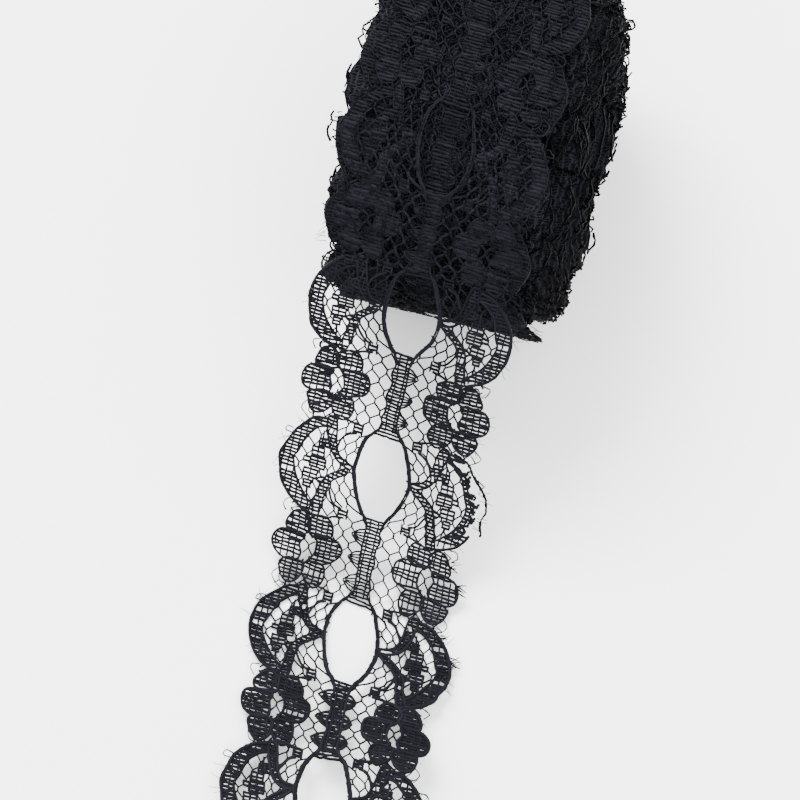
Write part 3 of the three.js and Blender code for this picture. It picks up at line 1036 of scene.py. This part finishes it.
YARN = yarn_material("Black yarn", (0.003, 0.003, 0.0043), (0.0084, 0.0084, 0.0123), 0.032)
UNDER_YARN = yarn_material(
    "Black yarn, second turn", (0.0032, 0.0032, 0.0044), (0.0085, 0.0085, 0.0118), 0.022)
# Painted shade: the deep turns' yarn is darker than the same yarn on the outer turns
DEEP_YARN_PAINTED_SHADE = yarn_material(
    "Black yarn, deep turns", (0.0014, 0.0014, 0.0018), (0.0062, 0.0062, 0.0088), 0.019)
print("yarns:", YARN.name, "and two duller ones")

# %% [markdown]
# ## Pressed and full yarn
# Lace that is wound under tension is pressed flat: its bars spread until they touch, and its
# cords sink into the cloth. Round threads there would look like wire. So each kind of thread
# gets a growth, a flatness and a height on the roll. Further down the loose length the yarn
# lies fuller than at its start, and the cloth looks nearly solid.

# %% Pressed and full yarn
PRESS = {
    "bar": (0.69, 3.8, 0.0), "pillar": (0.5, 1.5, -0.12), "cord": (0.5, 1.8, -0.12),
    "rim": (0.75, 1.5, -0.08), "net": (1.1, 1.4, 0.0),
}


def pressed(lines, fuller=1.0):
    """Wound lace is pressed flat: bars spread, cords sink into the cloth, nothing lies even.

    PRESS holds a growth, a flatness and a height for each kind of thread.
    """
    done, flats = [], []
    for points, radius, kind in lines:
        grow, flat, height = PRESS[kind]
        points = points * [1, 1, 0.3] + rng.normal(0, 1, points.shape) * [0.08, 0.05, 0.05]
        points[:, 2] += height + rng.normal(0, 0.06)
        # The stem spreads where it is pressed
        x = points[:, 0]
        spread = np.clip((STRIP_START - points[:, 1]) / 15, 0, 1)
        points[:, 0] = x + 0.4 * spread * x * np.exp(-((x / 3.2) ** 2))
        done.append((points, radius * grow * fuller, kind))
        flats.append(flat)
    return done, flats


def fuller_yarn(lines):
    """Towards the cut end the yarn lies fuller."""
    done = []
    for points, radius, kind in lines:
        s = points[:, 1] + SKEW * points[:, 0]
        more = {"net": 0.0, "bar": 0.12, "pillar": 0.1}.get(kind, 0.35)
        grow = 1 + more * np.clip((s - 92 + points[:, 0] * 0.7) / 22, 0, 1)
        done.append((points, radius * grow, kind))
    return done


print("pressed kinds of thread:", ", ".join(PRESS))

# %% [markdown]
# ## The loose length
# It starts on the front of the roll, leaves it at 50 degrees from the top, slopes down and
# lies on the table. Its last part curls up a little, more at the right edge. Its first part,
# on the roll and just past it, is pressed, and the rest is round yarn.

# %% Loose length of lace
PRESSED_TO = 12.5
on_roll, on_roll_flats = pressed(cut(all_lace, STRIP_START, PRESSED_TO), 1.3)
strip_lines = fuller_yarn(cut(all_lace, PRESSED_TO, CUT_END))
flats = on_roll_flats + [1.0] * len(strip_lines)
strip = threads_object("loose_length", on_roll + strip_lines, 4, place_lace, flats)
strip.data.materials.append(YARN)
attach(strip, "root")
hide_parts("loose_end")

# %% [markdown]
# ## The outer turns
# The same lace goes on round the roll. Two full turns are drawn thread by thread, each
# 0.6 mm further in than the one before. One turn is about six and a half repeats, so the
# stem of the second turn shows through the eyelets of the first, as it does on a real roll.

# %% Outer turns of lace
turns = []
for number, name in enumerate(("first_turn", "second_turn")):
    high = STRIP_START - number * TURN_LENGTH
    low = high - TURN_LENGTH
    lines, flats = pressed(cut(all_lace, low, high))
    turn = threads_object(name, lines, 3, place_lace, flats)
    turn.data.materials.append(UNDER_YARN if number else YARN)
    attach(turn, "root")
    turns.append(turn)

# %% [markdown]
# ## The wound body
# Under the outer turns the roll is a stack of some seventy turns. Each turn's edge is a
# scalloped ribbon, and the inner turns have slipped to the right. The body is one closed
# mesh whose two ends are stepped turn by turn, down to the narrow slit in the middle.

# %% Body of the roll
EDGE_AT = [0.0, 0.08, 0.15, 0.22, 0.3, 0.36, 0.43, 0.5, 0.57, 0.64, 0.71, 0.81, 0.87, 0.95, 1.0]
EDGE_HALF = [22.6, 22.3, 21.4, 19.7, 15.9, 18.8, 18.1, 20.8, 18.1, 18.8, 14.8, 18.2, 20.9, 22.3, 22.6]


def edge_half(share):
    """Half width of the lace at a place in its repeat."""
    return np.interp(np.mod(share, 1), EDGE_AT, EDGE_HALF)


print("a turn is", 2 * max(EDGE_HALF), "mm wide at its scallops and", 2 * min(EDGE_HALF), "at its notches")

# %% [markdown]
# Every turn gets its own place in the repeat, its own jitter and its own sway, so no two edges
# line up. At the lower front the scallops are pressed together into round lobes.

# %% Turns of the body
BODY_START = TURN_STEP * 2 + 0.5
LOBE_DEPTHS = [1, 3, 4.3, 6.5, 9.0, 11.5, 14.5, 18, 24]
LOBE_SHIFTS = [1.6, 1.6, 4.2, 5.0, 4.2, 2.0, 2.9, 3.2, 0]
LOBE_HALF = 21.2
turn_depths = np.concatenate([np.arange(BODY_START, 14, 0.62), np.arange(14, 33.4, 1.1)])
turn_jitter = rng.normal(0, 0.45, len(turn_depths))
turn_phase = np.cumsum((TURN_LENGTH - 2 * math.pi * turn_depths) / REPEAT_WOUND) + 0.52 * 2
# The first of these turns fill the notches of the ones drawn in full
turn_phase[:4] = [0.67, 0.2, 0.95, 0.45]
turn_phase[4:] += rng.uniform(-0.15, 0.15, len(turn_phase) - 4)
sway_phase = rng.uniform(0, 2 * math.pi, len(turn_depths))


def slip(depth, back, j):
    """Sideways place of a turn: it has slipped most at the lower front, and never evenly."""
    sway = 0.5 * np.sin(back / 13 + sway_phase[j]) + 0.3 * np.sin(back / 4.7 + 2 * sway_phase[j])
    lower = lower_front(back)
    more = np.interp(depth, LOBE_DEPTHS, LOBE_SHIFTS)
    return turn_shift(depth) + (turn_jitter[j] + sway) * (1 - 0.7 * lower) + lower * more


def turn_half(depth, back, j):
    """Half width of a turn. At the lower front the scallops are pressed together into round lobes."""
    # The way back is counted on the outer turn, and a deeper turn is shorter
    half = edge_half(turn_phase[j] - back / REPEAT_WOUND * (1 - depth / 45))
    return half + (LOBE_HALF - half) * 0.8 * lower_front(back)


print(len(turn_depths), "turns stand for about seventy")

# %% [markdown]
# The body is a chain of cross sections round the roll. Each section steps in and out at both
# ends, turn by turn. A lathe could make a smooth body, but the steps are what shows that it
# is wound.

# %% Wound body
RIGHT_INSET = 0.6
OUTER_RIGHT_INSET = 2.6
LEFT_INSET = 0.5
TURN_FILL = 0.86
LAST_DEPTH = 34.2


def body_ring(back):
    """Cross section of the body at one place round it: (x, radius) from left to right."""
    round_share = np.mod(back + STRIP_START, TURN_LENGTH) / TURN_LENGTH
    left, right = [], []
    for j, depth in enumerate(turn_depths):
        radius = ROLL_RADIUS + 0.1 - depth - TURN_STEP * round_share
        thick = (turn_depths[j + 1] if j + 1 < len(turn_depths) else LAST_DEPTH) - depth
        ripple = 0.22 * math.sin(back / 2.9 + j * 2.4)
        half_left = turn_half(depth, back, j) - LEFT_INSET + ripple
        half = turn_half(depth, back, j) - (OUTER_RIGHT_INSET if depth < 4 else RIGHT_INSET) + ripple
        shift = slip(depth, back, j)
        radius += 0.12 * math.sin(back / 1.7 + j * 1.3) + 0.08 * math.sin(back / 0.9 + j)
        for r in (radius, radius - thick * TURN_FILL):
            right.append((shift + half, r))
            left.append((shift - half_left, r))
    return np.array(left[::-1] + right)


STATIONS = 260
# The ring is closed, so the spiral's step comes back at one place, under the first turn
back_places = -STRIP_START + TURN_LENGTH * np.arange(STATIONS) / STATIONS
rings = []
for back in back_places:
    section = body_ring(back)
    radius = np.maximum(section[:, 1], 0.6)
    y, z, _ = wound_place(np.full(len(section), back), radius)
    flatten = np.clip(radius / 6, 0, 1)
    z = CORE_HEIGHT + (z - CORE_HEIGHT) * flatten
    rings.append(np.stack([section[:, 0], y, np.maximum(z, 0.35)], axis=1))
rings = np.array(rings)
body_along = np.repeat(back_places, rings.shape[1])
body_across = rings[:, :, 0].ravel()
# 0 on top, 1 at the two ends
body_ends = np.tile(np.clip(np.abs(rings[0, :, 0]) / 4 - 4, 0, 1), STATIONS)
width = rings.shape[1]
index = np.arange(STATIONS * width).reshape(STATIONS, width)
right_next = np.roll(index, -1, axis=1)
ahead = np.roll(index, -1, axis=0)
corner = np.roll(ahead, -1, axis=1)
body_faces = np.stack([index, right_next, corner, ahead], axis=-1).reshape(-1, 4)
body_values = {"along": body_along, "across": body_across, "ends": body_ends}
body = mesh_object("wound_body", rings.reshape(-1, 3), [body_faces], body_values)
body.data.flip_normals()
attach(body, "root")
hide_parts("wound_roll")
print("body", len(body_faces) * 2, "triangles")

# %% [markdown]
# The body's yarn would be far too many threads to draw, so its material shows it: bars across the lace at
# every course, pillars along it and small pits, bent by a little noise. Its colour follows the same height
# as its bump, so the gaps between the bars and the pits get painted shade. The top is painted lighter,
# where it shows through the lace, as painted light that makes up for the shade in the gaps, and the ends
# are darker and streaky.

# %% Body material
BAR_PITCH = 0.8
PILLAR_PITCH = 1.4
SWAY = 2.6
# Dark tone, light tone and where each starts: on top, then at the ends. The dark tone is painted shade in
# the gaps, and the top's tones are painted lighter than the ends as painted light
LIT_AND_SHADED_TONES = [(0.006, 0.017, 0.3, 0.95), (0.0025, 0.0095, 0.45, 1.0)]


def body_material():
    """Packed yarn: bars, pillars and pits with painted shade in the gaps, painted light on top and streaks
    at the ends.
    """
    material = bpy.data.materials.new("Packed lace")
    material.use_nodes = True
    tree = material.node_tree
    nodes, links = tree.nodes, tree.links
    shader = nodes["Principled BSDF"]
    place = nodes.new("ShaderNodeTexCoord")
    bend = nodes.new("ShaderNodeTexNoise")
    bend.inputs["Scale"].default_value = 500
    streak = nodes.new("ShaderNodeTexNoise")
    streak.inputs["Scale"].default_value = 1400
    streak.inputs["Detail"].default_value = 4
    links.new(place.outputs["Object"], bend.inputs["Vector"])
    links.new(place.outputs["Object"], streak.inputs["Vector"])
    waves = []
    for name, pitch in (("along", BAR_PITCH), ("across", PILLAR_PITCH)):
        moved = new_sum(tree, "MULTIPLY_ADD", bend.outputs["Fac"], SWAY, value_of(tree, name))
        waves.append(wave_of(tree, moved, pitch))
    higher = new_sum(tree, "MAXIMUM", *waves)
    height = new_sum(tree, "MULTIPLY_ADD", higher, 0.6, streak.outputs["Fac"])
    colours = []
    for low, high, place_low, place_high in LIT_AND_SHADED_TONES:
        # Painted shade: the low parts of the height get the dark tone
        ramp = nodes.new("ShaderNodeValToRGB")
        ramp.color_ramp.elements[0].position = place_low
        ramp.color_ramp.elements[0].color = (low, low, low * 1.4, 1)
        ramp.color_ramp.elements[1].position = place_high
        ramp.color_ramp.elements[1].color = (high, high, high * 1.35, 1)
        links.new(height, ramp.inputs["Fac"])
        colours.append(ramp.outputs["Color"])
    mix = nodes.new("ShaderNodeMix")
    mix.data_type = "RGBA"
    links.new(value_of(tree, "ends"), mix.inputs["Factor"])
    links.new(colours[0], mix.inputs["A"])
    links.new(colours[1], mix.inputs["B"])
    links.new(mix.outputs["Result"], shader.inputs["Base Color"])
    bump = nodes.new("ShaderNodeBump")
    bump.inputs["Strength"].default_value = 1.0
    bump.inputs["Distance"].default_value = 0.0005
    links.new(height, bump.inputs["Height"])
    links.new(bump.outputs["Normal"], shader.inputs["Normal"])
    shader.inputs["Roughness"].default_value = 0.85
    shader.inputs["Specular IOR Level"].default_value = 0.03
    return material


body.data.materials.append(body_material())
print("body material:", body.data.materials[0].name)

# %% [markdown]
# ## Edges of the inner turns
# Every inner turn ends in its own scalloped edge. The heavy cord on that edge, a second cord
# further in and the bars between them are what shows as layered streaks at both ends. Bump
# alone would leave the outline of the ends smooth, so they are real threads.
#
# Two tools come first: the place of a point by its radius, and a smooth random sway.

# %% Places and sway of the edges
def edge_placer(across, back, radius):
    """Like place_lace, for points that are given by their radius on the roll."""
    y, z, fall = wound_place(back, radius)
    flatten = np.clip(radius / 6, 0, 1)
    z = CORE_HEIGHT + (z - CORE_HEIGHT) * flatten
    points = np.stack([across, y, np.maximum(z, 0.3)], axis=-1)
    up = np.stack([0 * y, -np.sin(fall), np.cos(fall)], axis=-1)
    return points, up


def wander(count, step, length, size):
    """Smooth random sway along a line."""
    knots = max(4, int(count * step / length) + 3)
    return np.interp(np.linspace(0, knots - 1, count), np.arange(knots), rng.normal(0, size, knots))


print("an edge 10 mm deep lies up to", CORE_HEIGHT + ROLL_RADIUS - 10, "mm above the table")

# %% [markdown]
# Each cord is broken into lengths that start and stop, since parts of it lie hidden under its
# neighbours. Between the cords lie short bits of bar and loose yarn.

# %% Edge cords of the turns
OUTER_STRANDS = ((0.0, 0.17, 7), (1.2, 0.12, 5), (0.5, 0.11, 3))
INNER_STRANDS = ((0.0, 0.19, 12), (1.6, 0.14, 8))
OUTER_DEPTH = 12


def bits_at(depth):
    """How many short bits of yarn lie on a turn's edge."""
    if depth < 9:
        return 230
    return 90 if depth < 14 else 16


def edge_lines(side):
    """Cords and bits of yarn along the edges of the inner turns, at one end of the roll."""
    lines = []
    for j, depth in enumerate(turn_depths):
        step = 1.15 if depth < OUTER_DEPTH else 2.2
        back = np.arange(0, TURN_LENGTH, step) - STRIP_START
        count = len(back)
        round_share = (back + STRIP_START) / TURN_LENGTH
        base = ROLL_RADIUS + 0.1 - depth - TURN_STEP * round_share - 0.15
        half = turn_half(depth, back, j)
        calm = 1 - 0.6 * lower_front(back)
        shift = slip(depth, back, j) + wander(count, step, 18, 0.25)
        for inset, radius, length in OUTER_STRANDS if depth < OUTER_DEPTH else INNER_STRANDS:
            start = 0
            while start < count - 3:
                stop = min(count, start + max(4, int(rng.exponential(length) / step)))
                part = slice(start, stop)
                n = stop - start
                loose = (rng.normal(0, 0.3) + wander(n, step, 2.0, 0.34)) * calm[part]
                x = shift[part] + side * (half[part] - inset + loose)
                r = base[part] + rng.normal(0, 0.2) + wander(n, step, 3, 0.3)
                sizes = radius * (1 + rng.normal(0, 0.18, n))
                lines.append((np.stack([x, back[part], r], axis=1), np.maximum(sizes, 0.08)))
                start = stop - 1 if rng.random() < 0.5 else stop + rng.integers(0, 4)
        for n in range(bits_at(depth)):
            i = rng.integers(0, count)
            ribbed = n % 2 > 0
            inset = rng.uniform(0.6, 1.8) if ribbed else rng.uniform(-0.3, 3.4)
            x = shift[i] + side * (half[i] - inset - 1.2 * (1 - calm[i]))
            angle = rng.normal(0, 0.25) if ribbed else rng.uniform(0, 2 * math.pi)
            length = rng.uniform(1.4, 3.0) if ribbed else rng.uniform(0.6, 2.4)
            ends = np.array([[x, back[i], base[i]]] * 3)
            way = [math.cos(angle) * length, math.sin(angle) * length, rng.normal(0, 0.4)]
            ends += np.outer([-0.5, 0, 0.5], way)
            ends[1] += rng.normal(0, 0.15, 3)
            lines.append((ends, np.full(3, rng.uniform(0.06, 0.14))))
    return lines


for side, name in ((-1, "left_edges"), (1, "right_edges")):
    edges = threads_object(name, edge_lines(side), 3, edge_placer, rare=4)
    # The edges of the inner turns get the deep yarn with its painted shade
    edges.data.materials.append(DEEP_YARN_PAINTED_SHADE)
    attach(edges, "root")

# %% [markdown]
# ## Stray fibres
# Lace that is cut and handled sheds fine hairs. They stand off the scalloped edges in all
# directions. A hair system would need its own settings and can't be kept as a plain mesh, so
# they are thin tubes like the other threads.

# %% Hairs on the edges
HAIRS = 420


def hair_lines():
    """Fine hairs that stand off the scalloped edges."""
    lines = []
    for _ in range(HAIRS):
        side = rng.choice([-1, 1])
        row = rng.uniform(-250, CUT_END)
        share = (row - ROW_OF_FLOWER) / REPEAT + 0.5
        half = edge_half(share) - 0.3
        length = rng.uniform(0.8, 3.2)
        angle = rng.uniform(-1.2, 1.2)
        count = 5
        t = np.linspace(0, 1, count)
        bend = rng.normal(0, 0.6) * t * t
        across = side * (half + length * t * math.cos(angle))
        rows = row + length * t * math.sin(angle) + bend
        above = rng.uniform(0, 1.2) * t * length * 0.4
        lines.append((np.stack([across, rows, above], axis=1), np.linspace(0.06, 0.035, count)))
    return lines


print(HAIRS, "hairs on the edges")

# %% [markdown]
# Short curved fibres also lie in all directions on the outer turn and on the start of the
# loose length, and soften the ribs. On the right edge of the loose length, four bunches of
# threads have been pulled out.

# %% Fibres on the cloth and pulled threads
FIBRES = 5000
# Each bunch: its place in repeats, the edge there, how many threads and how long
BUNCHES = [(2.49, 20.5, 7, 2.5), (2.94, 21.9, 9, 2.9), (2.8, 19.4, 3, 1.8), (2.39, 18.8, 4, 1.9)]


def fuzz_lines():
    """Short curved fibres that lie on the cloth in all directions."""
    lines = []
    for _ in range(FIBRES):
        middle = np.array([rng.uniform(-21, 21), rng.uniform(-250, 12), rng.uniform(0.1, 0.4)])
        angle = rng.uniform(0, 2 * math.pi)
        length = rng.uniform(0.8, 2.4)
        way = np.array([math.cos(angle), math.sin(angle), 0]) * length / 2
        points = np.array([middle - way, middle, middle + way])
        points[1] += rng.normal(0, 0.2, 3) * [1, 1, 0.5]
        lines.append((points, np.full(3, rng.uniform(0.05, 0.09))))
    return lines


def pulled_lines():
    """Bunches of threads that have pulled out of the right edge of the loose length."""
    lines = []
    for repeat, edge, count, length in BUNCHES:
        row = row_at(REPEAT * repeat)
        for _ in range(count):
            angle = rng.uniform(-0.5, 1.0)
            t = np.linspace(0, 1, 5)
            far = length * rng.uniform(0.5, 1.2) * t
            across = edge - 0.5 + far * math.cos(angle)
            rows = row + rng.normal(0, 0.5) + far * math.sin(angle) + rng.normal(0, 0.4) * t * t
            above = rng.uniform(0, 0.8) * t
            lines.append((np.stack([across, rows, above], axis=1), np.linspace(0.15, 0.07, 5)))
    return lines


hairs = threads_object("stray_fibres", hair_lines() + fuzz_lines() + pulled_lines(), 3, place_lace)
hairs.data.materials.append(YARN)
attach(hairs, "root")

# %% [markdown]
# ## Sheets
# The loose length and the outer turns are sheets, so their flat sizes are worked out. The share compares
# half of the threads' surface with the flat size, because a sheet has two sides. A plain sheet would have
# 1, and these come near it, as open net and thick cords balance.

# %% Flat sizes
def half_surface(piece):
    """Half of a piece's surface, in square metres."""
    areas = np.empty(len(piece.data.polygons))
    piece.data.polygons.foreach_get("area", areas)
    return float(areas.sum()) / 2


strip_length = (CUT_END - STRIP_START) * MM
turn_length = TURN_LENGTH * MM
lace_width = LACE_WIDTH * MM
print("share of strip", half_surface(strip) / (lace_width * strip_length))
print("share of turn", half_surface(turns[0]) / (lace_width * turn_length))

# %% [markdown]
# ## Table
# The roll stands on a plain pale table. A large plane is enough, because its edge stays far
# outside the picture.

# %% Table
bpy.ops.mesh.primitive_plane_add(size=4, location=(0, 0, 0))
table = bpy.context.object
table.name = "table_top"
table_material = bpy.data.materials.new("Pale table")
table_material.use_nodes = True
table_nodes = table_material.node_tree.nodes
table_shader = table_nodes["Principled BSDF"]
table_shader.inputs["Base Color"].default_value = (0.88, 0.88, 0.88, 1)
table_shader.inputs["Roughness"].default_value = 0.9
table_shader.inputs["Specular IOR Level"].default_value = 0.1
table.data.materials.append(table_material)
print("table", tuple(table.dimensions))

# %% [markdown]
# ## Light
# The light is soft, as in the photo: a bright room all round, one large window light from the
# upper left behind the roll, and a weak light from the front right that keeps the shadow pale.
# A small hard lamp would draw every thread's shadow on the table.

# %% Light
world = bpy.data.worlds.new("Soft room")
bpy.context.scene.world = world
world.use_nodes = True
world.node_tree.nodes["Background"].inputs["Color"].default_value = (1, 1, 1, 1)
world.node_tree.nodes["Background"].inputs["Strength"].default_value = 2.9


def soft_light(name, place, aim, size, power):
    bpy.ops.object.light_add(type="AREA", location=place)
    light = bpy.context.object
    light.name = name
    light.data.shape = "SQUARE"
    light.data.size = size
    light.data.energy = power
    light.rotation_euler = (Vector(aim) - Vector(place)).to_track_quat("-Z", "Y").to_euler()
    return light


soft_light("Window side light", (-0.65, 0.65, 1.3), (0, -0.03, 0), 0.8, 86)
soft_light("Front fill light", (0.7, -0.8, 1.5), (0, -0.05, 0), 1.0, 34)
print("lights:", [light.name for light in bpy.data.lights])
